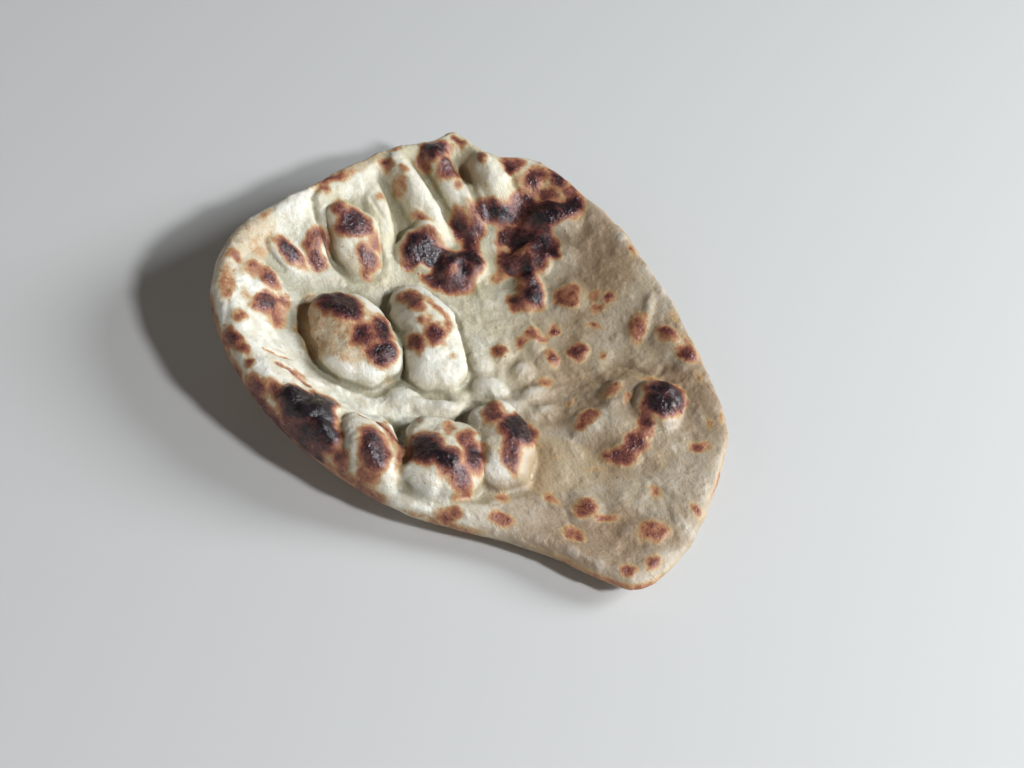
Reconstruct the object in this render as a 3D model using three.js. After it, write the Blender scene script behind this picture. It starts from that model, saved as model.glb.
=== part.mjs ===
// Naan bread: one leaf-shaped flatbread, baked as a single piece.
//
// Millimetres, +Z up. X runs from the wide end (negative) to the narrow tip (positive).
// The belly rests flat on Z = 0 and the edge curls up around it, most of all at the wide end.
// The origin is on the resting plane, below the middle of the bounding box.

import * as THREE from 'three';
import { mergeGeometries, mergeVertices } from 'three/addons/utils/BufferGeometryUtils.js';

// Driving dimensions.
const SHEET = 8; // thickness of the bread across its middle
const BELLY = 0.35; // share of the radius that lies flat on the table
const CURL_LEAST = 3; // how far the underside of the edge lifts at its lowest
const CURL_MOST = 22; // how far it lifts at its highest
const CURL_TURN = 190; // where it lifts most, in degrees from +X
const CURL_SIDE = 8; // how much more the long smooth side lifts
const CURL_SIDE_TURN = 85; // where that side is, in degrees from +X
const CURL_POWER = 1.7; // how late the underside starts to climb
const RIM_THIN = 7; // thickness of the rim on its thin side
const RIM_FAT = 18; // thickness of the rim where it puffed up
const RIM_FAT_TURN = -100; // where the rim is fattest, in degrees from +X
const RIM_REACH = 22; // how far in from the edge the thicker rim fades out
const RIM_ROUND = 8; // how far in from the edge its rounding starts
const DOME_POWER = 1; // shape of a blister: the lower, the more steeply it stands up from its foot
const MEET_POWER = 4; // how sharply the blisters part where they meet

// Cells along each side of the grid that is bent into the bread, and how many of its rings
// are spent on the rounded rim.
const CELLS = 44;
const ROUND_RINGS = 5;

// The outline seen from above, anticlockwise from the narrow tip.
const OUTLINE = [
  [112, 16], [107, 34], [95, 51], [81, 66], [65, 79], [52, 83], [38, 85], [19, 87],
  [-2, 88], [-23, 86], [-45, 83], [-63, 78], [-80, 71], [-90, 63], [-94, 51], [-99, 45],
  [-112, 38], [-110, 25], [-110, 8], [-103, -17], [-94, -42], [-89, -56], [-83, -69],
  [-68, -83], [-48, -91], [-27, -92], [-4, -88], [18, -79], [36, -68], [53, -54],
  [65, -39], [77, -22], [90, -7], [103, 4],
];

// Blisters that steam raised on the top: the middle, half length, half width, turn of the
// long way from +X in degrees, and height above the sheet.
const BLISTERS = [
  { at: [-25, -40], long: 22, wide: 16, turn: 7, high: 13 },
  { at: [-19, -12], long: 26, wide: 15, turn: -7, high: 12 },
  { at: [39, -31], long: 20, wide: 15, turn: -32, high: 13 },
  { at: [40, -5], long: 21, wide: 12, turn: -15, high: 11 },
  { at: [29, -55], long: 21, wide: 12, turn: -17, high: 6 },
  { at: [15, -65], long: 34, wide: 16, turn: 15, high: 4 },
  { at: [-48, -71], long: 36, wide: 15, turn: -20, high: 3 },
  { at: [-70, -23], long: 17, wide: 12, turn: -9, high: 7 },
  { at: [-69, -53], long: 10, wide: 5, turn: 38, high: 4 },
  { at: [-83, 9], long: 20, wide: 8, turn: 9, high: 7 },
  { at: [-85, 25], long: 17, wide: 8, turn: 10, high: 5 },
  { at: [-81, 40], long: 13, wide: 10, turn: 4, high: 5 },
  { at: [-62, 3], long: 12, wide: 11, turn: 0, high: 6 },
  { at: [-60, 60], long: 15, wide: 9, turn: 46, high: 4 },
  { at: [-48, 46], long: 14, wide: 10, turn: -21, high: 4 },
  { at: [41, 47], long: 26, wide: 22, turn: 60, high: 5 },
  { at: [43, 61], long: 10, wide: 9, turn: 0, high: 7 },
];

const outline = new THREE.CatmullRomCurve3(
  OUTLINE.map(([x, y]) => new THREE.Vector3(x, y, 0)), true, 'catmullrom', 0.5,
);
outline.arcLengthDivisions = 1000;

// 1 in the given direction, falling to 0 opposite it.
function towards(turn, direction) {
  return (1 + Math.cos(turn - THREE.MathUtils.degToRad(direction))) / 2;
}

// How far the underside of the edge lifts off the table in this direction.
function edgeLift(turn) {
  const end = (CURL_MOST - CURL_LEAST) * towards(turn, CURL_TURN) ** 1.5;
  const side = CURL_SIDE * towards(turn, CURL_SIDE_TURN) ** 3;
  return CURL_LEAST + end + side;
}

// Thickness of the rim in this direction.
function rimThickness(turn) {
  return RIM_THIN + (RIM_FAT - RIM_THIN) * towards(turn, RIM_FAT_TURN) ** 2;
}

// Height of one blister above the sheet: a dome on an oval foot.
function blisterHeight({ at, long, wide, turn, high }, x, y) {
  const angle = THREE.MathUtils.degToRad(turn);
  const dx = x - at[0];
  const dy = y - at[1];
  const along = (dx * Math.cos(angle) + dy * Math.sin(angle)) / long;
  const across = (dy * Math.cos(angle) - dx * Math.sin(angle)) / wide;
  return high * Math.max(0, 1 - along ** 2 - across ** 2) ** DOME_POWER;
}

// Height of all the blisters together at one place.
function raisedHeight(x, y) {
  const sum = BLISTERS.reduce((total, blister) => total + blisterHeight(blister, x, y) ** MEET_POWER, 0);
  return sum ** (1 / MEET_POWER);
}

// Where one grid point lies on a disc: its ring, from 0 in the middle to 1 at the edge, and
// its share of the whole turn.
function discPlace(column, row) {
  const u = (2 * column) / CELLS - 1;
  const v = (2 * row) / CELLS - 1;
  const ring = Math.max(Math.abs(u), Math.abs(v));
  let eighths = 0;
  if (ring > 0 && Math.abs(u) >= Math.abs(v)) {
    eighths = v / u + (u < 0 ? 4 : 0);
  } else if (ring > 0) {
    eighths = 2 - u / v + (v < 0 ? 4 : 0);
  }
  return { ring, share: ((eighths + 8) % 8) / 8 };
}

// One point of the bread's skin. The side is 1 on the top and -1 on the underside, and the
// two meet along the edge.
function skinPoint(column, row, side) {
  const { ring, share } = discPlace(column, row);
  const edge = outline.getPointAt(share);
  const reach = Math.hypot(edge.x, edge.y);
  const rings = (ring * CELLS) / 2;
  const bodyRings = CELLS / 2 - ROUND_RINGS;
  const bend = (Math.max(0, rings - bodyRings) / ROUND_RINGS) * (Math.PI / 2);
  const inset = RIM_ROUND / reach;
  const radius = bend > 0 ? 1 - inset * (1 - Math.sin(bend)) : (1 - inset) * (rings / bodyRings);
  const x = edge.x * radius;
  const y = edge.y * radius;
  const turn = Math.atan2(y, x);

  const climb = Math.max(0, (radius - BELLY) / (1 - BELLY)) ** CURL_POWER;
  const underside = edgeLift(turn) * climb;
  const rim = Math.exp(-((((1 - radius) * reach) / RIM_REACH) ** 2));
  const half = (SHEET + (rimThickness(turn) - SHEET) * rim) / 2;
  const raised = side > 0 ? raisedHeight(x, y) : 0;
  return [x, y, underside + half + (side * half + raised) * Math.cos(bend)];
}

// One side of the skin. Each cell is split so that its diagonal runs towards the middle.
function skin(side) {
  const points = [];
  const triangles = [];
  for (let row = 0; row <= CELLS; row += 1) {
    for (let column = 0; column <= CELLS; column += 1) {
      points.push(...skinPoint(column, row, side));
    }
  }
  for (let row = 0; row < CELLS; row += 1) {
    for (let column = 0; column < CELLS; column += 1) {
      const a = row * (CELLS + 1) + column;
      const b = a + 1;
      const c = b + CELLS + 1;
      const d = a + CELLS + 1;
      const inLine = (2 * column + 1 - CELLS) * (2 * row + 1 - CELLS) > 0;
      const cell = inLine ? [a, b, c, a, c, d] : [a, b, d, b, c, d];
      triangles.push(...(side > 0 ? cell : cell.reverse()));
    }
  }
  const geometry = new THREE.BufferGeometry();
  geometry.setAttribute('position', new THREE.Float32BufferAttribute(points, 3));
  geometry.setIndex(triangles);
  return geometry;
}

// Both sides welded along the edge into one closed body, over the origin.
function breadGeometry() {
  const geometry = mergeVertices(mergeGeometries([skin(1), skin(-1)]), 1e-3);
  geometry.computeBoundingBox();
  const middle = geometry.boundingBox.getCenter(new THREE.Vector3());
  geometry.translate(-middle.x, -middle.y, -geometry.boundingBox.min.z);
  geometry.computeVertexNormals();
  return geometry;
}

const crust = new THREE.MeshStandardMaterial({ color: 0xd6cdb0, roughness: 0.6, metalness: 0 });

const bread = new THREE.Mesh(breadGeometry(), crust);
bread.name = 'naan_bread';

const naan = new THREE.Group();
naan.add(bread);

export default naan;
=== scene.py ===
"""Naan bread: the looks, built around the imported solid.

Everything on the bread is worked out in millimetres, in the part's own frame: X runs from the wide
end to the narrow tip, +Z is up, and the belly rests on Z = 0. The mesh is turned into metres last.
"""

import math

import bpy
import numpy as np
from mathutils import Matrix, Vector, noise


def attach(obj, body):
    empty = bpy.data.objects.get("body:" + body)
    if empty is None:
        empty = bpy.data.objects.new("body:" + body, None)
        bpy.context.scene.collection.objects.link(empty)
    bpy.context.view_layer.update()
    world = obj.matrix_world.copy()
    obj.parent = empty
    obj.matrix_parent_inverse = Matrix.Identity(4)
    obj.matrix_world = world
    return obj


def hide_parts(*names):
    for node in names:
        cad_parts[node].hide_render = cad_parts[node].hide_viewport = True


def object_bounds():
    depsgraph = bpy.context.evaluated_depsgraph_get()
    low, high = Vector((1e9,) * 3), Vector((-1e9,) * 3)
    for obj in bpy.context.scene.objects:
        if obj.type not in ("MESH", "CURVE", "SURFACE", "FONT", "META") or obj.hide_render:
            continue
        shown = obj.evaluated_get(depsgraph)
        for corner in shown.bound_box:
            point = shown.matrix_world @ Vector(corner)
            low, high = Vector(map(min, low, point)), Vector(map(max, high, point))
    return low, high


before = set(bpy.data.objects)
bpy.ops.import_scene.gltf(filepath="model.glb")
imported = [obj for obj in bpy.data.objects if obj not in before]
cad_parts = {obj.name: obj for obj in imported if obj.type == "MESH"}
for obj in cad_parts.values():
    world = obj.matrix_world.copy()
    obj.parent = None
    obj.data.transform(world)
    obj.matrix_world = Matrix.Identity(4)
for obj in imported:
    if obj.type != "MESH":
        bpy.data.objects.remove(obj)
cad_low, cad_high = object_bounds()

MM = 0.001

# ---------------------------------------------------------------- the bread's main dimensions

SHEET = 8.0  # thickness across the middle
BELLY = 0.35  # share of the radius that lies flat
CURL_LEAST, CURL_MOST = 3.0, 22.0  # how high the edge curls up, at the least and at the most
CURL_POWER = 1.7  # the higher, the nearer to the edge the curl starts
CURL_SIDE = 8.0  # extra curl along the long smooth edge
RIM_THIN, RIM_FAT = 7.0, 18.0  # thickness of the rim, at the least and at the most
RIM_REACH = 22.0  # how far in from the edge the rim's own thickness fades out
RIM_ROUND = 8.0  # how far in from the edge its rounding starts
# The direction in degrees in which each of these is strongest, and how closely it keeps to it.
CURL_TURN, CURL_FOCUS = 190.0, 1.5
CURL_SIDE_TURN, CURL_SIDE_FOCUS = 85.0, 3
RIM_FAT_TURN, RIM_FAT_FOCUS = -100.0, 2

SQUARENESS = 2.7  # of the steep blisters' outlines: 2 is a plain oval
JOIN_POWER = 4  # the lower, the more two toasted spots darken each other where they overlap

TOP_CELLS = 260  # cells along each side of the grid that is bent into the top
UNDER_CELLS = TOP_CELLS // 2  # the same for the underside
ROUND_SHARE = 0.14  # share of the grid's rings spent on the rounded rim
SOFTEN_ROUNDS = 4  # how much the blisters' feet are softened
RELAX_ROUNDS = 30  # how much the grid is evened out over their steep sides
AROUND_ROUNDS = 130  # how wide the surroundings are that tell a hollow from a crest
FULL_HOLLOW = 1.9  # how far below its surroundings a point is at the bottom of a hollow

# Where the two skins lie in the texture: the low corner and the size of each square island.
TOP_ISLAND = ((0.005, 0.005), 0.69)
UNDER_ISLAND = ((0.72, 0.02), 0.26)
STRIP_FRAME = 1.03  # how much larger than the underside's island its frame is

# The outline seen from above, anticlockwise from the narrow tip.
OUTLINE = [
    (112, 16), (107, 34), (95, 51), (81, 66), (65, 79), (52, 83), (38, 85), (19, 87),
    (-2, 88), (-23, 86), (-45, 83), (-63, 78), (-80, 71), (-90, 63), (-94, 51), (-99, 45),
    (-112, 38), (-110, 25), (-110, 8), (-103, -17), (-94, -42), (-89, -56), (-83, -69),
    (-68, -83), (-48, -91), (-27, -92), (-4, -88), (18, -79), (36, -68), (53, -54),
    (65, -39), (77, -22), (90, -7), (103, 4),
]

# Blisters: x, y, half length, half width, turn of the long way in degrees, height, and how
# steeply the side stands up from its foot (a half is upright, 1 and more is a gentle swell).
BLISTERS = [
    # the two big ones in the middle, and the two by the near edge
    (-27, -41, 22, 16, 3, 13, 0.5),
    (-20, -13, 25, 13, -5, 12, 0.55),
    (39, -31, 20, 16, -32, 13, 0.55),
    (38, -7, 20, 13, -15, 11, 0.6),
    (-13, -36, 10, 9, 0, 1.8, 1.2),
    (-37, -47, 12, 8, 10, 1.6, 1.2),
    (-30, -14, 9, 8, 0, 1.2, 1.2),
    (-10, -18, 8, 7, 50, 1.2, 1.2),
    (46, -30, 9, 8, -40, 1.5, 1.2),
    # the roll along the puffed rim
    (30, -54, 21, 12, -17, 8, 0.7),
    (12, -66, 32, 14, 15, 4, 1.0),
    (-20, -77, 22, 10, 2, 2.5, 1.0),
    (-48, -74, 22, 10, -22, 2.5, 1.0),
    (3, -76, 6, 5, -50, 2.2, 0.8),
    (11, -67, 6, 5, -50, 2.5, 0.7),
    (12, -75, 5, 4, 20, 1.8, 0.8),
    (22, -71, 6, 4, 10, 2, 0.7),
    (-8, -83, 8, 5, 20, 1.5, 1.0),
    (-36, -84, 8, 4, -10, 1.2, 1.0),
    # the slope at the wide end
    (-71, -24, 15, 10, -9, 7, 0.65),
    (-77, -10, 16, 7, -9, 4, 1.0),
    (-69, -53, 9, 5, 35, 4, 0.8),
    (-72, -41, 9, 6, -10, 2, 1.0),
    (-57, -66, 8, 5, -40, 2, 1.0),
    (-44, -70, 9, 6, -60, 2, 1.0),
    (-86, -45, 9, 6, -70, 2, 1.0),
    (-84, 9, 24, 9, 9, 9, 1.0),
    (-86, 26, 21, 9, 10, 8, 1.0),
    (-100, 24, 9, 8, 0, 2, 1.0),
    (-81, 42, 16, 10, 4, 7, 1.0),
    (-94, 40, 7, 6, 20, 2, 1.0),
    (-64, 3, 10, 9, -50, 5.5, 0.7),
    (-52, 16, 13, 11, 80, 3.5, 1.0),
    (-49, 22, 6, 5, 80, 1.5, 1.0),
    (-71, 37, 9, 5, 60, 1.5, 1.0),
    (-80, 55, 10, 8, 60, 3, 1.0),
    (-59, 60, 14, 8, 50, 4, 0.9),
    (-52, 48, 15, 9, -40, 2.5, 1.0),
    (-46, 43, 8, 6, 30, 3, 0.8),
    (-40, 56, 9, 6, 60, 1.8, 1.0),
    (-30, 38, 11, 6, -30, 3, 1.0),
    # bubbles in the two dark clusters
    (-47, 37, 6, 5, 0, 2.4, 0.8),
    (-42, 47, 6, 5, -30, 2, 0.8),
    (-37, 39, 5, 4, -30, 2, 0.8),
    (-60, 56, 8, 4, 60, 1.5, 1.0),
    (-53, 12, 8, 6, -40, 2, 1.0),
    # lumps in the wet hollow between the big blisters
    (5, -31, 9, 6, 60, 3, 1.0),
    (13, -19, 11, 6, 70, 4, 1.0),
    (9, -10, 7, 5, 20, 2, 1.0),
    (20, 3, 11, 6, 75, 3, 1.0),
    (9, 3, 8, 5, 60, 3, 1.0),
    (17, 18, 9, 5, 80, 3, 1.0),
    (27, 17, 8, 5, 65, 2, 1.0),
    (-2, 3, 6, 5, 30, 2, 1.0),
    (6, 19, 6, 5, 60, 2, 1.0),
    # small bumps on the flatter half
    (-6, 13, 5, 4, 0, 1.4, 0.9),
    (-8, 28, 8, 6, 40, 1.4, 1.0),
    (4, 32, 7, 5, -30, 1.4, 1.0),
    (5, 43, 6, 6, 0, 1.2, 1.0),
    (-21, 52, 10, 8, -20, 1.2, 1.0),
    (-1, 79, 7, 2.5, -45, 1.4, 1.0),
    (6, 70, 9, 5, -30, 1.4, 1.0),
    (16, 77, 7, 6, 0, 1.2, 1.0),
    (27, 79, 7, 6, -60, 1.2, 1.0),
    # the low swell near the tip and the bubble on it
    (41, 47, 27, 23, 60, 5, 1.4),
    (32, 44, 10, 7, -60, 1.6, 1.0),
    (43, 61, 11, 9, -45, 4, 0.7),
    (39, 65, 4, 3, -40, 1.3, 1.0),
    (46, 62, 4, 3, 20, 1.3, 1.0),
    (43, 57, 4, 3, -20, 1.2, 1.0),
    (37, 59, 3, 3, 0, 1.0, 1.0),
    (40, 30, 9, 6, -60, 1.6, 1.0),
    (58, 36, 9, 7, 50, 1.6, 1.0),
    (75, 12, 9, 7, -30, 1.6, 1.0),
    (92, 28, 10, 7, 70, 1.6, 1.0),
    (62, -30, 12, 6, 60, 1.8, 1.0),
]

# Creases: depth, half width, how toasted the line is, then the points that it follows.
CREASES = [
    (2.5, 1.8, 0, (7, -48), (12, -43), (20, -41), (32, -43), (45, -48)),
    (2.2, 1.3, 0, (-98, -28), (-90, -36), (-78, -37), (-64, -35), (-54, -30)),
    (2.2, 2.2, 0, (-104, 15), (-88, 17), (-68, 21)),
    (1.9, 2.0, 0, (-100, 33), (-86, 34), (-70, 31)),
    (1.8, 2.0, 0, (-102, -5), (-88, -2), (-72, -4), (-64, -8)),
    (1.2, 1.5, 0, (-88, 51), (-75, 51)),
    (0.9, 1.2, 0, (13, 49), (19, 58), (28, 64)),
    (0.8, 1.2, 0, (25, 73), (30, 66), (36, 70)),
    (1.2, 0.6, 0.5, (-22, -81), (-19, -75), (-18, -70)),
    (1.4, 0.7, 0.62, (-15, -79), (-11, -73), (-8, -71), (-3, -66)),
    (1.0, 0.8, 0.75, (14, -57), (19, -50), (28, -45), (36, -44)),
    (0.7, 0.8, 0, (-90, -12), (-80, -10), (-74, -8)),
    (0.7, 1.0, 0, (-60, -90), (-55, -78), (-52, -70)),
]

# Toasted spots: x, y, half length, half width, turn in degrees, and how dark they are:
# 0.4 is tan, 0.6 red-brown, 0.85 dark maroon and 1 burnt black.
SPOTS = [
    # on the two big blisters in the middle
    (-39, -43, 12, 9, 20, 0.95), (-23, -40, 7, 5, -40, 0.9), (-23, -31, 10, 5, -15, 0.93),
    (-12, -35, 7, 6, -60, 0.92), (-17, -38, 7, 5, -40, 0.56), (-24, -48, 4, 2, 60, 0.28),
    (-35, -13, 9, 5, 0, 0.7), (-28, -6, 8, 2, 10, 0.66), (-19, -5, 7, 2, -20, 0.66),
    (-22, -13, 4, 3, -20, 0.5), (-14, -12, 7, 5, -30, 0.8), (-14, -21, 6, 4, 0, 0.72),
    (-4, -8, 3, 2, -50, 0.42),
    # on the two by the near edge, and on the end of the roll
    (38, -38, 10, 7, -20, 0.95), (46, -34, 7, 6, -30, 0.97), (54, -31, 6, 5, -40, 0.76),
    (22, -33, 6, 2, -20, 0.32), (30, -26, 6, 3, -30, 0.5), (37, -21, 8, 4, -30, 0.68),
    (46, -22, 9, 5, -30, 0.93), (27, -5, 8, 5, -30, 0.72), (37, 1, 11, 8, -50, 0.97),
    (47, -7, 9, 5, -20, 0.76), (34, -57, 12, 6, -20, 0.94), (25, -58, 4, 2, -20, 0.6),
    (25, -47, 9, 2, -10, 0.72), (36, -47, 7, 2, -20, 0.9), (43, -50, 5, 2, -20, 0.45),
    # golden haze
    (-32, -46, 23, 16, 5, 0.245), (37, -30, 22, 18, -30, 0.14), (0, 62, 34, 20, -30, 0.12),
    (62, 40, 34, 24, 50, 0.1), (-72, -24, 16, 12, -9, 0.14), (14, -66, 40, 12, 15, 0.14),
    (-90, 30, 20, 30, 0, 0.1), (50, 6, 26, 14, 60, 0.16), (-69, -73, 24, 9, -52, 0.21),
    (-101, -16, 24, 5, -72, 0.21),
    # at the wide end, from the puffed rim up to the first ridge
    (-75, -24, 9, 7, 90, 0.88), (-82, -27, 6, 4, -10, 0.64), (-61, -22, 6, 5, 0, 0.7),
    (-67, -17, 5, 3, -40, 0.6), (-69, -53, 8, 5, 30, 0.88), (-73, -40, 7, 5, -70, 0.62),
    (-66, -42, 5, 4, 90, 0.7), (-66, -77, 4, 3, 0, 0.6), (-60, -70, 6, 4, -50, 0.46),
    (-57, -65, 6, 4, -40, 0.78), (-45, -70, 8, 5, -60, 0.84), (-50, -62, 5, 3, -50, 0.66),
    (-40, -68, 6, 3, -50, 0.62), (-53, -84, 11, 3, -20, 0.42), (-37, -84, 5, 3, -40, 0.55),
    (-84, -59, 6, 2, -70, 0.38), (-97, -24, 12, 3, -75, 0.62), (-92, -30, 4, 3, -80, 0.45),
    (-37, -61, 4, 2, -60, 0.5), (-70, -66, 4, 3, 0, 0.3), (-49, -78, 4, 3, 0, 0.35),
    # round the peak
    (-100, 0, 4, 3, 33, 0.66), (-94, 5, 3, 2, 0, 0.5), (-107, 7, 4, 2, -70, 0.62),
    (-89, 3, 5, 3, 21, 0.42), (-87, -7, 5, 3, -70, 0.32), (-102, 24, 10, 6, -60, 0.88),
    (-92, 26, 8, 5, -65, 0.8), (-106, 37, 5, 3, 29, 0.68), (-93, 42, 5, 3, -17, 0.66),
    (-85, 28, 4, 3, -60, 0.62), (-75, 6, 6, 2, 49, 0.66),
    # the dark cluster below the ridges
    (-62, 1, 10, 8, -80, 0.94), (-56, 9, 9, 8, -34, 0.88), (-52, 18, 10, 8, -66, 0.88),
    (-45, 11, 9, 5, 70, 0.84), (-62, 25, 8, 5, -22, 0.84), (-70, 23, 7, 5, 0, 0.86),
    (-71, 37, 11, 4, 65, 0.9), (-67, 30, 6, 4, 0, 0.78), (-49, 3, 6, 5, 60, 0.78),
    (-55, 22, 7, 5, 20, 0.84),
    # the darkest one, from the edge inwards
    (-87, 54, 6, 5, -88, 0.76), (-79, 60, 8, 5, -80, 0.78), (-75, 70, 7, 4, 7, 0.93),
    (-70, 52, 7, 6, 70, 0.78), (-66, 73, 5, 4, 0, 0.66), (-61, 60, 15, 8, 67, 0.95),
    (-59, 70, 8, 5, -31, 0.88), (-57, 43, 9, 8, 28, 0.84), (-46, 38, 9, 7, 25, 0.86),
    (-45, 51, 10, 8, -31, 0.86), (-42, 42, 7, 3, -20, 0.98), (-36, 40, 9, 5, -20, 0.92),
    (-27, 38, 8, 6, -32, 0.93), (-28, 31, 5, 4, 20, 0.8), (-43, 30, 6, 4, -50, 0.42),
    (-53, 50, 10, 8, 60, 0.8), (-70, 64, 6, 4, 60, 0.72), (-75, 60, 5, 3, -30, 0.68),
    (-69, 44, 8, 4, 65, 0.88),
    # small ones on the flatter half
    (-21, 52, 7, 6, -20, 0.55), (-12, 66, 3, 2, -20, 1.0), (-10, 60, 4, 3, 50, 0.5),
    (-16, 61, 4, 3, 0, 0.45), (-28, 84, 3, 2, 0, 0.64), (-6, 13, 5, 4, -40, 0.6),
    (-10, 30, 5, 4, -40, 0.6), (-7, 24, 4, 3, -50, 0.54), (-6, 33, 4, 3, 80, 0.56),
    (-8, 39, 3, 3, 0, 0.68), (4, 32, 5, 3, -30, 0.78), (5, 43, 5, 5, 0, 0.74),
    (10, 51, 3, 2, -30, 0.48), (-3, 54, 5, 2, 50, 0.52), (6, 69, 8, 4, -30, 0.55),
    (15, 78, 5, 4, 0, 0.74), (26, 81, 6, 5, 0, 0.76), (14, 25, 4, 3, 90, 0.4),
    (30, 45, 6, 3, -60, 0.55), (27, 29, 4, 2, -60, 0.5), (36, 49, 4, 3, -30, 0.5),
    (39, 30, 6, 4, -60, 0.68), (30, 63, 6, 2, 70, 0.42), (60, 24, 6, 2, 70, 0.36),
    (20, 84, 5, 2, 0, 0.45), (8, 85, 4, 2, 0, 0.4), (38, 80, 4, 2, -10, 0.4),
    # the glossy bubble near the tip and the spots round it
    (43, 61, 11, 9, -50, 0.95), (50, 51, 8, 4, -50, 0.76), (56, 42, 6, 5, -60, 0.72),
    (59, 35, 7, 5, 60, 0.72), (58, 73, 2, 1, 0, 0.95), (58, 79, 4, 2, -30, 0.42),
    (66, 66, 4, 3, 80, 0.72),
    # towards the tip and the near edge
    (62, -38, 6, 3, 70, 0.62), (75, 12, 6, 5, -40, 0.64), (82, 17, 4, 2, 70, 0.85),
    (94, 29, 7, 5, 70, 0.56), (92, 50, 3, 3, 0, 0.66), (105, 13, 3, 3, 0, 0.68),
    (105, 23, 4, 3, 90, 0.8), (70, -20, 6, 4, 50, 0.55), (60, -16, 4, 3, 0, 0.45),
    (84, 2, 5, 3, 40, 0.62), (66, 2, 4, 3, 20, 0.5), (78, 40, 4, 3, 0, 0.45),
    # burnt crest of the puffed rim
    (-28, -89, 7, 3, 20, 0.86), (-22, -88, 5, 3, 40, 0.6), (-15, -87, 3, 2, 0, 0.78),
    (-6, -87, 7, 3, 20, 0.7), (8, -69, 12, 7, -50, 1.15), (5, -76, 8, 7, -60, 1.1),
    (22, -71, 9, 5, 0, 1.1), (15, -70, 8, 5, 20, 1.1), (32, -69, 5, 3, 20, 0.85),
    (12, -79, 10, 5, 25, 0.72), (20, -76, 8, 5, 30, 0.84), (0, -82, 7, 4, 10, 0.66),
    (-10, -70, 4, 2, 0, 0.5),
]

# Where the dough shows paler between the dark spots: x, y, half length, half width, turn, and
# the share of the toast that is missing.
PALE = [
    (-54, 38, 3, 2, 0, 0.6), (-50, 63, 4, 3, 48, 0.8), (-36, 52, 6, 4, 0, 0.8),
    (-55, 1, 4, 2, 88, 0.9), (-50, 12, 3, 2, -26, 0.45), (-82, 57, 5, 2, -40, 0.5),
    (-72, 65, 3, 1, 60, 0.4), (-49, 41, 2, 2, 0, 0.5), (50, 54, 3, 2, 30, 0.5),
]

# Toast along the rim's outer side: direction in degrees, half width in degrees, darkness.
RIM_TOAST = [
    (-88, 26, 0.66), (-112, 12, 0.5), (-60, 14, 0.5), (-32, 14, 0.42), (5, 14, 0.4),
    (40, 12, 0.42), (75, 14, 0.35), (118, 18, 0.4), (140, 8, 0.75), (160, 8, 0.7),
    (180, 14, 0.5), (-155, 14, 0.48), (-135, 10, 0.4),
]


def smooth(low, high, value):
    """0 below low, 1 above high, and an even S between. With low above high it falls instead."""
    t = np.clip((value - low) / (high - low), 0, 1)
    return t * t * (3 - 2 * t)


def cloud(points, size, octaves, shift):
    """Soft noise of about -1 to 1 whose lumps are about size millimetres across."""
    offset = Vector((shift, 2 * shift, 3 * shift))
    return np.array([noise.fractal(Vector(p) / size + offset, 1.0, 2.0, octaves) for p in points])


def warped(points, size, reach, shift):
    """The x and y of these points, each pushed about by soft noise, so that ovals look natural."""
    push = [cloud(points, size, 2, shift), cloud(points, size, 2, shift + 5)]
    return (points[:, :2] + reach * np.stack(push, 1)).T


def towards(turn, direction):
    """1 in the given direction, falling to 0 opposite it."""
    return (1 + np.cos(turn - math.radians(direction))) / 2


# ---------------------------------------------------------------- the sheet and its rim


def outline_at(share):
    """Points of the outline at these shares of its length: a closed Catmull-Rom curve."""
    knots = np.array(OUTLINE, float)
    before, after, later = np.roll(knots, 1, 0), np.roll(knots, -1, 0), np.roll(knots, -2, 0)
    t = np.linspace(0, 1, 40, endpoint=False)[None, :, None]
    p0, p1, p2, p3 = before[:, None], knots[:, None], after[:, None], later[:, None]
    curve = 0.5 * (
        2 * p1 + (p2 - p0) * t + (2 * p0 - 5 * p1 + 4 * p2 - p3) * t**2
        + (3 * p1 - p0 - 3 * p2 + p3) * t**3
    )
    curve = curve.reshape(-1, 2)
    curve = np.vstack([curve, curve[:1]])
    length = np.concatenate([[0], np.cumsum(np.hypot(*np.diff(curve, axis=0).T))])
    length /= length[-1]
    return np.stack([np.interp(share, length, curve[:, axis]) for axis in (0, 1)], 1)


def square_places(cells):
    """Both coordinates, from -1 to 1, of each point of a square grid, row by row."""
    steps = np.linspace(-1, 1, cells + 1)
    v, u = np.meshgrid(steps, steps, indexing="ij")
    return u.ravel(), v.ravel()


def disc_places(cells):
    """The square grid bent onto a disc: each point's ring, 0 to 1, and share of the turn."""
    u, v = square_places(cells)
    ring = np.maximum(abs(u), abs(v))
    flat = abs(u) >= abs(v)
    safe = np.where(ring == 0, 1, np.where(flat, u, v))
    eighths = np.where(flat, v / safe + 4 * (u < 0), 2 - u / safe + 4 * (v < 0))
    eighths = np.where(ring == 0, 0, eighths)
    return ring, (eighths % 8) / 8


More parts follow.
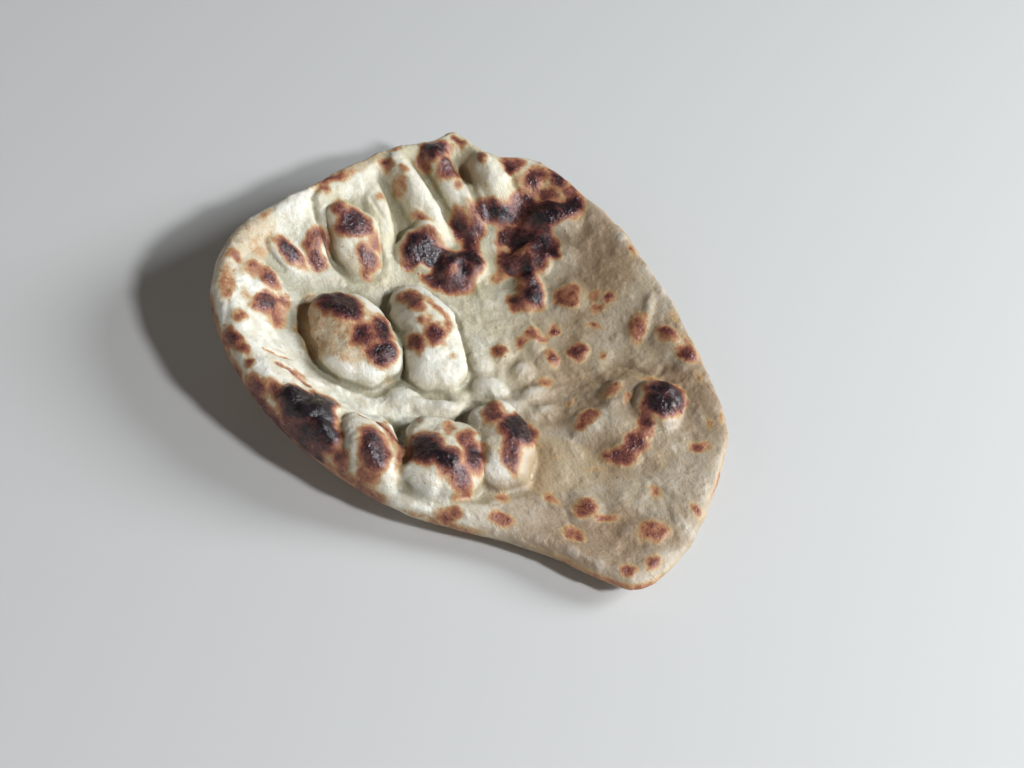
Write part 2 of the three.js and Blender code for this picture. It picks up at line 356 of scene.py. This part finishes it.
def skin(cells, side):
    """One side of the bread without its blisters: 1 is the top, -1 the underside.

    Gives the points, how far the skin faces up or down there, and the direction of each point.
    """
    ring, share = disc_places(cells)
    edge = outline_at(share)
    reach = np.hypot(edge[:, 0], edge[:, 1])
    body = 1 - ROUND_SHARE
    # The underside's border lies a step below the top's, and the strip closes the gap.
    last = 1 if side > 0 else 1 - 2 / (cells * ROUND_SHARE)
    bend = np.clip((ring - body) / ROUND_SHARE, 0, 1) * last * math.pi / 2
    inset = RIM_ROUND / reach
    radius = np.where(ring > body, 1 - inset * (1 - np.sin(bend)), (1 - inset) * ring / body)
    x, y = edge[:, 0] * radius, edge[:, 1] * radius
    turn = np.arctan2(y, x)
    climb = np.clip((radius - BELLY) / (1 - BELLY), 0, 1) ** CURL_POWER
    lift = CURL_LEAST + (CURL_MOST - CURL_LEAST) * towards(turn, CURL_TURN) ** CURL_FOCUS
    lift = lift + CURL_SIDE * towards(turn, CURL_SIDE_TURN) ** CURL_SIDE_FOCUS
    rim = RIM_THIN + (RIM_FAT - RIM_THIN) * towards(turn, RIM_FAT_TURN) ** RIM_FAT_FOCUS
    half = (SHEET + (rim - SHEET) * np.exp(-(((1 - radius) * reach / RIM_REACH) ** 2))) / 2
    z = lift * climb + half + side * half * np.cos(bend)
    return np.stack([x, y, z], 1), np.cos(bend), turn


# ---------------------------------------------------------------- blisters and creases


def oval(x, y, middle_x, middle_y, long, wide, turn, power=2.0):
    """How far each point is from the middle of an oval: 1 is on its outline.

    A power over 2 makes the oval squarer.
    """
    c, s = math.cos(math.radians(turn)), math.sin(math.radians(turn))
    dx, dy = x - middle_x, y - middle_y
    along, across = abs(dx * c + dy * s) / long, abs(dy * c - dx * s) / wide
    return (along**power + across**power) ** (1 / power)


def raised(x, y):
    """Height of the blisters over the sheet, and how much of a wall each point stands on.

    Steep blisters meet in a valley, and gentle swells add up with whatever is on them.
    """
    height = np.zeros(len(x))
    swell = np.zeros(len(x))
    wall = np.zeros(len(x))
    foot = np.zeros(len(x))
    for middle_x, middle_y, long, wide, turn, high, steep in BLISTERS:
        power = 2.0 if steep >= 1 else SQUARENESS
        away = oval(x, y, middle_x, middle_y, long, wide, turn, power)
        dome = high * np.clip(1 - away**2, 0, 1) ** steep
        if steep >= 1:
            swell += dome
            continue
        # Its side stands out as a wall, and its foot is pinched into the sheet round it.
        steepness = (1 - steep) * high / 6
        side = smooth(0.6, 0.88, away) * smooth(1.06, 0.92, away) * steepness
        wall = np.where(dome >= height, side, wall)
        foot = np.maximum(foot, steepness * np.exp(-(((away - 1.08) * wide / 1.5) ** 2)))
        height = np.maximum(height, dome)
    return swell + height - 0.9 * foot * smooth(2, 0, height), wall


def along_line(x, y, line):
    """Distance of each point from a bent line, and how far along it that is, from 0 to 1."""
    knots = np.array(line, float)
    length = np.concatenate([[0], np.cumsum(np.hypot(*np.diff(knots, axis=0).T))])
    nearest = np.full(len(x), np.inf)
    place = np.zeros(len(x))
    for i in range(len(knots) - 1):
        step = knots[i + 1] - knots[i]
        span = step @ step
        t = np.clip(((x - knots[i, 0]) * step[0] + (y - knots[i, 1]) * step[1]) / span, 0, 1)
        away = np.hypot(x - knots[i, 0] - t * step[0], y - knots[i, 1] - t * step[1])
        place = np.where(away < nearest, (length[i] + t * math.sqrt(span)) / length[-1], place)
        nearest = np.minimum(nearest, away)
    return nearest, place


def creased(x, y):
    """Depth of the creases at each point, and how toasted they are there."""
    depth = np.zeros(len(x))
    toast = np.zeros(len(x))
    for deep, wide, dark, *line in CREASES:
        nearest, place = along_line(x, y, line)
        taper = smooth(0, 0.25, place) * smooth(1, 0.75, place)
        depth = np.maximum(depth, deep * taper * np.exp(-((nearest / wide) ** 2)))
        baked = dark * smooth(0, 0.4, taper) * smooth(2.2 * wide, 0.4 * wide, nearest)
        toast = np.maximum(toast, baked)
    return depth, toast


# ---------------------------------------------------------------- shaping on the grid


def neighbours(grid):
    """The mean of each inner grid point's four neighbours."""
    return (grid[:-2, 1:-1] + grid[2:, 1:-1] + grid[1:-1, :-2] + grid[1:-1, 2:]) / 4


def blurred(grid, rounds):
    """The grid's values with all that is finer than a few cells smoothed away."""
    grid = grid.copy()
    for _ in range(rounds):
        grid[1:-1, 1:-1] = (grid[1:-1, 1:-1] + neighbours(grid)) / 2
    return grid


def grid_normals(grid):
    """Unit normals of a grid of points, pointing out of the top."""
    along = np.gradient(grid, axis=1)
    across = np.gradient(grid, axis=0)
    normal = np.cross(along, across)
    return normal / np.maximum(np.linalg.norm(normal, axis=2, keepdims=True), 1e-9)


def relaxed(grid, rounds):
    """The points slid along the skin towards even spacing, so that steep walls get their share."""
    grid = grid.copy()
    for _ in range(rounds):
        slide = neighbours(grid) - grid[1:-1, 1:-1]
        normal = grid_normals(grid)[1:-1, 1:-1]
        slide -= normal * (slide * normal).sum(2, keepdims=True)
        grid[1:-1, 1:-1] += 0.6 * slide
    return grid


def unevenness(points):
    """How far the dough stands out or sinks in by itself: broad waves, lumps, pimples and grain."""
    waves = 1.0 * cloud(points, 30, 2, 5)
    lumps = 0.55 * cloud(points, 11, 2, 7)
    pimples = 0.36 * smooth(0.05, 0.5, cloud(points, 5, 2, 9))
    return waves + lumps + pimples + 0.06 * cloud(points, 2.5, 2, 11)


def shaped_top():
    """The top's points with blisters, creases and lumps."""
    points, facing, _ = skin(TOP_CELLS, 1)
    side = TOP_CELLS + 1
    height, wall = raised(*warped(points, 16, 2.6, 3))
    points[:, 2] += blurred((height * facing).reshape(side, side), SOFTEN_ROUNDS).ravel()
    wall = blurred(wall.reshape(side, side), SOFTEN_ROUNDS).ravel()
    grid = relaxed(points.reshape(side, side, 3), RELAX_ROUNDS)
    points = grid.reshape(-1, 3)
    depth, _ = creased(*points[:, :2].T)
    swell = 1.2 * wall * facing - depth * facing + unevenness(points)
    return points + grid_normals(grid).reshape(-1, 3) * swell[:, None]


def shaped_underside():
    """The underside's points: flat where it rests, with shallow dimples that rise into the bread."""
    points, facing, _ = skin(UNDER_CELLS, -1)
    dimples = 0.9 * smooth(0.05, 0.5, cloud(points, 13, 2, 41))
    dimples += 0.35 * smooth(0.1, 0.5, cloud(points, 5, 2, 43))
    points[:, 2] += dimples * facing
    return points


# ---------------------------------------------------------------- toasting


def spot_toast(points):
    """How dark the toasted spots and creases make each point of the top."""
    fine = warped(points, 3, 0.7, 61)
    x, y = warped(points, 9, 2.0, 51) + fine - points[:, :2].T
    toast = creased(*fine)[1] ** JOIN_POWER
    for middle_x, middle_y, long, wide, turn, dark in SPOTS:
        away = oval(x, y, middle_x, middle_y, long, wide, turn)
        # The brown halo round it: the darker the spot, the wider.
        halo = (2.0 + 3.6 * dark) / wide
        toast += (dark * smooth(1 + 0.4 * halo, 1 - 0.7 * halo, away)) ** JOIN_POWER
    toast = toast ** (1 / JOIN_POWER)
    for middle_x, middle_y, long, wide, turn, missing in PALE:
        toast *= 1 - missing * smooth(1.5, 0.4, oval(x, y, middle_x, middle_y, long, wide, turn))
    return toast


def rim_toast(points, turn, outer):
    """How dark the rim's outer side is, from the directions where the oven caught it."""
    toast = np.zeros(len(points))
    for direction, spread, dark in RIM_TOAST:
        off = (np.degrees(turn) - direction + 180) % 360 - 180
        toast = np.maximum(toast, dark * np.exp(-((off / spread) ** 2)))
    patches = 0.95 + 0.5 * cloud(points, 9, 3, 71)
    return toast * patches * outer


def top_toast(points):
    """How dark each point of the top is, from its spots and the rim's own toast."""
    _, facing, turn = skin(TOP_CELLS, 1)
    return np.maximum(spot_toast(points), rim_toast(points, turn, smooth(0.75, 0.15, facing)))


def underside_toast(points):
    """Pale brown all over, with darker spots where it touched the oven wall."""
    ring, _ = disc_places(UNDER_CELLS)
    _, _, turn = skin(UNDER_CELLS, -1)
    haze = 0.2 + 0.22 * cloud(points, 30, 3, 81)
    spots = 0.75 * smooth(0.1, 0.55, cloud(points, 17, 2, 83))
    flecks = 0.55 * smooth(0.25, 0.6, cloud(points, 8, 1, 87))
    middle = np.maximum(haze, np.maximum(spots, flecks)) * smooth(1.0, 0.85, ring)
    return np.maximum(middle, rim_toast(points, turn, smooth(0.8, 0.95, ring)))


def hollows(points, cells):
    """1 down in the hollows, -1 up on the crests, from how the height differs from its surroundings."""
    height = points[:, 2].reshape(cells + 1, cells + 1)
    return np.clip((blurred(height, AROUND_ROUNDS) - height) / FULL_HOLLOW, -1, 1).ravel()


# ---------------------------------------------------------------- mesh


def square_faces(cells, start):
    """The quads of a square grid of points."""
    row, column = np.meshgrid(np.arange(cells), np.arange(cells), indexing="ij")
    a = start + (row * (cells + 1) + column).ravel()
    return np.stack([a, a + 1, a + cells + 2, a + cells + 1], 1)


def rim_loop(cells, start):
    """The points along the border of a square grid, in order."""
    side = np.arange(cells)
    bottom, right = side, side * (cells + 1) + cells
    top, left = cells * (cells + 1) + cells - side, (cells - side) * (cells + 1)
    return start + np.concatenate([bottom, right, top, left])


def rim_strip(cells, start):
    """Triangles that join the top's border to the underside's, which has half as many points."""
    fine, coarse = rim_loop(cells, 0), rim_loop(cells // 2, start)
    f0, f1, f2 = fine[0::2], fine[1::2], np.roll(fine[0::2], -1)
    c0, c1 = coarse, np.roll(coarse, -1)
    return np.concatenate([np.stack(t, 1) for t in ((f0, c0, f1), (f1, c0, c1), (f1, c1, f2))])


def island(cells, low, size):
    """The texture places of a square grid laid out as one flat island."""
    u, v = square_places(cells)
    return np.stack([low[0] + size * (u + 1) / 2, low[1] + size * (v + 1) / 2], 1)


def add_texture_places(mesh, top_faces, strip, under_faces):
    """One island for the top and a smaller one for the underside, framed by the strip."""
    top = island(TOP_CELLS, *TOP_ISLAND)
    under = island(UNDER_CELLS, *UNDER_ISLAND)
    under_low, under_size = UNDER_ISLAND
    around = np.array(under_low) + under_size / 2
    framed = around + (island(TOP_CELLS, *UNDER_ISLAND) - around) * STRIP_FRAME
    places = [np.vstack([top, under])[top_faces], np.vstack([top, under])[under_faces]]
    places.append(np.vstack([framed, under])[strip])
    layer = mesh.uv_layers.new(name="OFBake")
    layer.data.foreach_set("uv", np.concatenate([p.ravel() for p in places]).astype(np.float32))


def add_levels(mesh, name, values):
    """One number stored on each point, for the material to read."""
    layer = mesh.attributes.new(name, "FLOAT", "POINT")
    layer.data.foreach_set("value", values.astype(np.float32))


def in_place(points):
    """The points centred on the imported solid, with none of them below the resting plane."""
    points = points.copy()
    points[:, 2] = np.maximum(points[:, 2], 0)
    low, high = points[:, :2].min(0), points[:, :2].max(0)
    middle = np.array([(cad_low[i] + cad_high[i]) / 2 / MM for i in (0, 1)])
    points[:, :2] += middle - (low + high) / 2
    return points


def bread_mesh():
    """The bread's closed skin in metres, with its toast and hollows stored on the points."""
    top, under = shaped_top(), shaped_underside()
    toast = np.concatenate([top_toast(top), underside_toast(under)])
    # The hollow levels decide where the dough gets painted shade and painted light, and where it is
    # greasy.
    hollow = np.concatenate([hollows(top, TOP_CELLS), np.zeros(len(under))])
    points = in_place(np.vstack([top, under]))
    top_faces = square_faces(TOP_CELLS, 0)
    under_faces = square_faces(UNDER_CELLS, len(top))[:, ::-1]
    strip = rim_strip(TOP_CELLS, len(top))
    mesh = bpy.data.meshes.new("naan_bread_skin")
    faces = top_faces.tolist() + under_faces.tolist() + strip.tolist()
    mesh.from_pydata((points * MM).tolist(), [], faces)
    mesh.polygons.foreach_set("use_smooth", [True] * len(mesh.polygons))
    add_texture_places(mesh, top_faces, strip, under_faces)
    add_levels(mesh, "toast", toast)
    add_levels(mesh, "hollow", hollow)
    mesh.update()
    return mesh


def build_bread():
    """The bread's object, still without its material."""
    bread = bpy.data.objects.new("naan_bread_baked", bread_mesh())
    bpy.context.scene.collection.objects.link(bread)
    return bread


# ---------------------------------------------------------------- crust material


def node(tree, kind, settings=None, **links):
    """A new shader node with its settings, and each named input set or linked."""
    made = tree.nodes.new(kind)
    for name, value in (settings or {}).items():
        setattr(made, name, value)
    for name, value in links.items():
        socket = made.inputs[int(name[1:])] if name[1:].isdigit() else made.inputs[name]
        if isinstance(value, bpy.types.NodeSocket):
            tree.links.new(value, socket)
        else:
            socket.default_value = value
    return made


def maths(tree, operation, a, b=0.0):
    """Two numbers put together by a Math node."""
    return node(tree, "ShaderNodeMath", {"operation": operation}, _0=a, _1=b).outputs[0]


def fade(tree, value, low, high, to_low=0.0, to_high=1.0):
    """The value mapped smoothly from low..high to to_low..to_high, and held beyond."""
    settings = {"interpolation_type": "SMOOTHSTEP"}
    ends = {"_1": low, "_2": high, "_3": to_low, "_4": to_high}
    return node(tree, "ShaderNodeMapRange", settings, _0=value, **ends).outputs[0]


def mixed(tree, share, a, b):
    """Colour a where share is 0, b where it is 1."""
    made = node(tree, "ShaderNodeMix", {"data_type": "RGBA"}, _0=share, _6=a, _7=b)
    return made.outputs[2]


def grain(tree, place, size, detail=3.0, rough=0.55):
    """Noise about 0 to 1 whose lumps are about size millimetres across."""
    scale = 1 / (size * MM)
    look = {"Scale": scale, "Detail": detail, "Roughness": rough}
    return node(tree, "ShaderNodeTexNoise", None, Vector=place, **look).outputs["Fac"]


def cell_distance(tree, place, size):
    """How far each place is from the middle of its own little cell; cells are about size mm across."""
    scale = 1 / (size * MM)
    return node(tree, "ShaderNodeTexVoronoi", None, Vector=place, Scale=scale).outputs["Distance"]


def level(tree, name):
    """A number stored on the mesh's points."""
    return node(tree, "ShaderNodeAttribute", {"attribute_name": name}).outputs["Fac"]


def colour(r, g, b):
    """An opaque colour, in linear light."""
    return (r, g, b, 1.0)


def ramp(tree, value, stops):
    """Colours that follow one another as the value grows."""
    made = node(tree, "ShaderNodeValToRGB", None, Fac=value)
    elements = made.color_ramp.elements
    while len(elements) < len(stops):
        elements.new(0.5)
    for element, (place, tone) in zip(elements, stops):
        element.position, element.color = place, tone
    return made.outputs["Color"]


PAINTED_SIDE_SHADE_WAY = (0.56, 0.83, 0.0)  # the way in which painted shade browns the dough
PAINTED_SIDE_LIGHT_WAY = (0.35, -0.94, 0.0)  # the way in which painted light whitens it

CREAM = colour(0.70, 0.67, 0.565)  # plain dough
BUTTERY = colour(0.63, 0.57, 0.40)  # broad patches of it
PAINTED_SIDE_LIGHT = colour(0.83, 0.82, 0.745)  # painted light on one side
PAINTED_SIDE_SHADE = colour(0.31, 0.21, 0.13)  # painted shade on the other side
TANNED = colour(0.50, 0.42, 0.27)  # fine mottling
PAINTED_HOLLOW_SHADE = colour(0.30, 0.27, 0.175)  # painted shade at the bottom of the hollows
PAINTED_CREST_LIGHT = colour(0.76, 0.74, 0.68)  # painted light on the crests
DIRT = colour(0.10, 0.05, 0.03)  # specks from the oven

# The crust's colour as it bakes, from golden through red-brown and maroon to burnt.
TOAST_TONES = [
    (0.0, colour(0.57, 0.46, 0.26)),
    (0.22, colour(0.50, 0.345, 0.165)),
    (0.36, colour(0.45, 0.23, 0.115)),
    (0.5, colour(0.32, 0.125, 0.07)),
    (0.64, colour(0.20, 0.068, 0.05)),
    (0.78, colour(0.105, 0.036, 0.034)),
    (0.9, colour(0.046, 0.018, 0.02)),
    (1.0, colour(0.016, 0.010, 0.013)),
]


def towards_way(tree, place, way):
    """How far each place lies from the middle of the bread in the given direction."""
    made = node(tree, "ShaderNodeVectorMath", {"operation": "DOT_PRODUCT"}, _0=place, _1=way)
    return made.outputs["Value"]


def dough_colour(tree, place, hollow):
    """Pale cream dough: painted light on the crests and one side, painted olive shade in the hollows,
    brown shade on the other side.
    """
    broad = fade(tree, grain(tree, place, 28), 0.35, 0.65)
    pale = mixed(tree, broad, CREAM, BUTTERY)
    # Painted light: the dough is whitened towards one side.
    side_light_share = fade(tree, towards_way(tree, place, PAINTED_SIDE_LIGHT_WAY), -10 * MM, 42 * MM, 0.0, 0.65)
    pale = mixed(tree, side_light_share, pale, PAINTED_SIDE_LIGHT)
    fine = fade(tree, grain(tree, place, 5, 5.0, 0.6), 0.42, 0.62)
    dough = mixed(tree, maths(tree, "MULTIPLY", fine, 0.45), pale, TANNED)
    # Painted shade: the deeper down in a hollow, the darker and more olive the dough.
    deep = fade(tree, hollow, 0.0, 0.9, 0.0, 0.85)
    dough = mixed(tree, deep, dough, PAINTED_HOLLOW_SHADE)
    # Painted shade: the dough is browned, unevenly, towards the other side.
    side_shade_share = fade(tree, towards_way(tree, place, PAINTED_SIDE_SHADE_WAY), -10 * MM, 45 * MM)
    side_shade_share = maths(tree, "MULTIPLY", side_shade_share, fade(tree, broad, 0.0, 1.0, 0.6, 0.95))
    dough = mixed(tree, side_shade_share, dough, PAINTED_SIDE_SHADE)
    # Painted light: the higher up on a crest, the whiter the dough.
    crest = fade(tree, hollow, -0.1, -0.9, 0.0, 0.55)
    return mixed(tree, crest, dough, PAINTED_CREST_LIGHT)


def baked_level(tree, place, speck):
    """How toasted the crust is everywhere: the mesh's toast, made uneven and freckled."""
    toast = level(tree, "toast")
    mottle = maths(tree, "SUBTRACT", grain(tree, place, 3.5, 5.0, 0.6), 0.5)
    mottle = maths(tree, "MULTIPLY", mottle, 0.8)
    unrest = maths(tree, "ADD", mottle, maths(tree, "MULTIPLY", speck, 0.3))
    shy = fade(tree, toast, 0.12, 0.45, 0.1, 1.0)
    baked = maths(tree, "ADD", toast, maths(tree, "MULTIPLY", unrest, shy))
    freckles = fade(tree, grain(tree, place, 2.6, 2.0), 0.62, 0.74, 0.0, 0.13)
    return maths(tree, "ADD", baked, freckles)


def crust_colour(tree, place, hollow, baked):
    """Dough under its toast, with a few dark specks from the oven."""
    cover = fade(tree, baked, 0.06, 0.34)
    crust = mixed(tree, cover, dough_colour(tree, place, hollow), ramp(tree, baked, TOAST_TONES))
    dirt = fade(tree, cell_distance(tree, place, 11), 0.045, 0.02)
    return mixed(tree, dirt, crust, DIRT)


def crust_roughness(tree, place, hollow, baked, speck):
    """Dull dough, greasy in the hollows, and a crisp gloss on what is burnt."""
    dull = fade(tree, grain(tree, place, 7, 4.0), 0.35, 0.65, 0.4, 0.58)
    greasy = fade(tree, hollow, 0.0, 0.5, 0.0, 0.16)
    doughy = maths(tree, "SUBTRACT", dull, greasy)
    doughy = maths(tree, "ADD", doughy, maths(tree, "MULTIPLY", speck, 0.35))
    crisp = fade(tree, grain(tree, place, 4), 0.35, 0.65, 0.1, 0.24)
    glossy = fade(tree, baked, 0.4, 0.75)
    made = node(tree, "ShaderNodeMix", {"data_type": "FLOAT"}, _0=glossy, _2=doughy, _3=crisp)
    return made.outputs[0]


def dough_relief(tree, place):
    """Height of the dough's own surface in millimetres: pores, grain and patches of froth."""
    pits = fade(tree, cell_distance(tree, place, 3.2), 0.0, 0.25, -0.05, 0.0)
    skin_grain = maths(tree, "MULTIPLY", grain(tree, place, 1.5, 4.0, 0.65), 0.45)
    bubbles = fade(tree, cell_distance(tree, place, 3.6), 0.0, 0.45, 0.15, 0.0)
    frothy = fade(tree, grain(tree, place, 13, 2.0), 0.42, 0.6)
    skin_grain = maths(tree, "ADD", skin_grain, maths(tree, "MULTIPLY", bubbles, frothy))
    return maths(tree, "ADD", pits, skin_grain)


def burnt_relief(tree, place, baked):
    """Height of what burning adds, in millimetres: a crackled skin and fine beads."""
    crackle = fade(tree, baked, 0.5, 0.9, 0.0, 0.26)
    crackle = maths(tree, "MULTIPLY", grain(tree, place, 2.8, 5.0, 0.7), crackle)
    beads = fade(tree, cell_distance(tree, place, 1.5), 0.0, 0.6, 0.2, 0.0)
    beads = maths(tree, "MULTIPLY", beads, fade(tree, baked, 0.45, 0.8))
    return maths(tree, "ADD", crackle, beads)


def crust_material():
    """The whole crust, from pale dough with its painted light and shade to burnt blisters."""
    material = bpy.data.materials.new("naan_crust_baked")
    material.use_nodes = True
    tree = material.node_tree
    place = node(tree, "ShaderNodeTexCoord").outputs["Object"]
    hollow = level(tree, "hollow")
    speck = maths(tree, "SUBTRACT", grain(tree, place, 0.9, 3.0), 0.5)
    baked = baked_level(tree, place, speck)
    relief = maths(tree, "ADD", dough_relief(tree, place), burnt_relief(tree, place, baked))
    bump = node(tree, "ShaderNodeBump", None, Height=relief, Distance=MM, Strength=1.0)
    shader = tree.nodes["Principled BSDF"]
    tree.links.new(crust_colour(tree, place, hollow, baked), shader.inputs["Base Color"])
    tree.links.new(crust_roughness(tree, place, hollow, baked, speck), shader.inputs["Roughness"])
    tree.links.new(bump.outputs["Normal"], shader.inputs["Normal"])
    shader.inputs["Specular IOR Level"].default_value = 0.5
    shader.inputs["Subsurface Weight"].default_value = 0.12
    shader.inputs["Subsurface Radius"].default_value = (1.0, 0.6, 0.3)
    shader.inputs["Subsurface Scale"].default_value = 3 * MM
    return material


# ---------------------------------------------------------------- studio

VIEW_TURN = 56.0  # direction in degrees that the camera looks from, round the bread
VIEW_RISE = 50.0  # its height in degrees above the bread's own plane
VIEW_ROLL = 12.0  # degrees that the bread leans to the right in the frame
VIEW_AIM = Vector((13.7, 11.7, 12)) * MM  # what the middle of the frame looks at
VIEW_DISTANCE = 0.5566  # metres from there to the camera
LENS, SENSOR = 50.0, 36.0  # millimetres
FLOOR_RADIUS = 2.2  # of the flat part, in metres
WALL_HEIGHT = 0.6  # metres
FLOOR_SIDES = 96
FLOOR_TONE = colour(0.62, 0.62, 0.61)
SKY_TONE = colour(1.0, 0.89, 0.76)
SKY_LEAST, SKY_MOST = 0.05, 0.25  # how bright the room is overhead and at the horizon
SKY_FADE = 0.3  # how high the brighter part reaches, as a share of the way up

# Lights: name, direction round the bread from the camera's, height in degrees, distance and
# width in metres, watts, and colour.
LIGHTS = [
    ("key", 110, 27, 3.0, 1.2, 88, (0.9, 0.96, 1.0)),
    ("sparkle", 70, 40, 1.4, 0.16, 15, (0.95, 0.97, 1.0)),
    ("fill", -55, 32, 2.2, 1.6, 6, (1.0, 0.97, 0.94)),
]


def look_from(turn, rise):
    """The way from the bread to whatever stands at this direction and height, in degrees."""
    a, e = math.radians(turn), math.radians(rise)
    return Vector((math.sin(a) * math.cos(e), -math.cos(a) * math.cos(e), math.sin(e)))


def add_camera():
    """The camera: it looks down on the bread, with the narrow tip at the lower right."""
    camera = bpy.data.objects.new("camera", bpy.data.cameras.new("camera"))
    bpy.context.scene.collection.objects.link(camera)
    back = look_from(VIEW_TURN, VIEW_RISE)
    camera.location = VIEW_AIM + back * VIEW_DISTANCE
    upright = (-back).to_track_quat("-Z", "Y").to_matrix()
    roll = Matrix.Rotation(math.radians(VIEW_ROLL), 3, back)
    camera.rotation_mode = "QUATERNION"
    camera.rotation_quaternion = (roll @ upright).to_quaternion()
    camera.data.lens = LENS
    camera.data.sensor_width = SENSOR
    camera.data.clip_start = 0.01
    bpy.context.scene.camera = camera


def floor_material():
    """Plain, pale and without gloss."""
    material = bpy.data.materials.new("floor")
    material.use_nodes = True
    shader = material.node_tree.nodes["Principled BSDF"]
    shader.inputs["Base Color"].default_value = FLOOR_TONE
    shader.inputs["Roughness"].default_value = 1.0
    shader.inputs["Specular IOR Level"].default_value = 0.1
    return material


def add_floor():
    """A round floor whose far edge curves up into a low wall, so that it has no hard horizon."""
    rise = np.linspace(0, math.pi / 2, 10)
    radius = np.concatenate([[FLOOR_RADIUS / 3], FLOOR_RADIUS + WALL_HEIGHT * np.sin(rise)])
    height = np.concatenate([[0], WALL_HEIGHT * (1 - np.cos(rise))])
    turn = np.linspace(0, 2 * math.pi, FLOOR_SIDES, endpoint=False)
    rings = np.stack([np.outer(radius, np.cos(turn)), np.outer(radius, np.sin(turn))], 2)
    rings = np.concatenate([rings, np.repeat(height[:, None, None], FLOOR_SIDES, 1)], 2)
    faces = [tuple(range(FLOOR_SIDES))]
    for ring in range(len(radius) - 1):
        for side in range(FLOOR_SIDES):
            a, b = ring * FLOOR_SIDES + side, ring * FLOOR_SIDES + (side + 1) % FLOOR_SIDES
            faces.append((a, a + FLOOR_SIDES, b + FLOOR_SIDES, b))
    mesh = bpy.data.meshes.new("floor")
    mesh.from_pydata(rings.reshape(-1, 3).tolist(), [], faces)
    mesh.polygons.foreach_set("use_smooth", [True] * len(faces))
    mesh.materials.append(floor_material())
    floor = bpy.data.objects.new("floor", mesh)
    bpy.context.scene.collection.objects.link(floor)


def add_light(name, turn, rise, distance, size, watts, tone):
    """A round soft light that looks at the bread."""
    light = bpy.data.lights.new(name, "AREA")
    light.shape = "DISK"
    light.size = size
    light.energy = watts
    light.color = tone
    lamp = bpy.data.objects.new(name, light)
    bpy.context.scene.collection.objects.link(lamp)
    back = look_from(VIEW_TURN + turn, rise)
    lamp.location = back * distance
    lamp.rotation_mode = "QUATERNION"
    lamp.rotation_quaternion = (-back).to_track_quat("-Z", "Y")


def add_world():
    """A dim warm room, brightest at the horizon."""
    world = bpy.data.worlds.new("studio")
    world.use_nodes = True
    tree = world.node_tree
    way = node(tree, "ShaderNodeTexCoord").outputs["Generated"]
    height = node(tree, "ShaderNodeSeparateXYZ", None, Vector=way)
    background = tree.nodes["Background"]
    background.inputs["Color"].default_value = SKY_TONE
    strength = fade(tree, height.outputs["Z"], 0.0, SKY_FADE, SKY_MOST, SKY_LEAST)
    tree.links.new(strength, background.inputs["Strength"])
    bpy.context.scene.world = world
    bpy.context.scene.view_settings.view_transform = "Standard"


add_camera()
add_floor()
add_world()
for light in LIGHTS:
    add_light(*light)

bread = build_bread()
bread.data.materials.append(crust_material())
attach(bread, "root")
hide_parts("naan_bread")
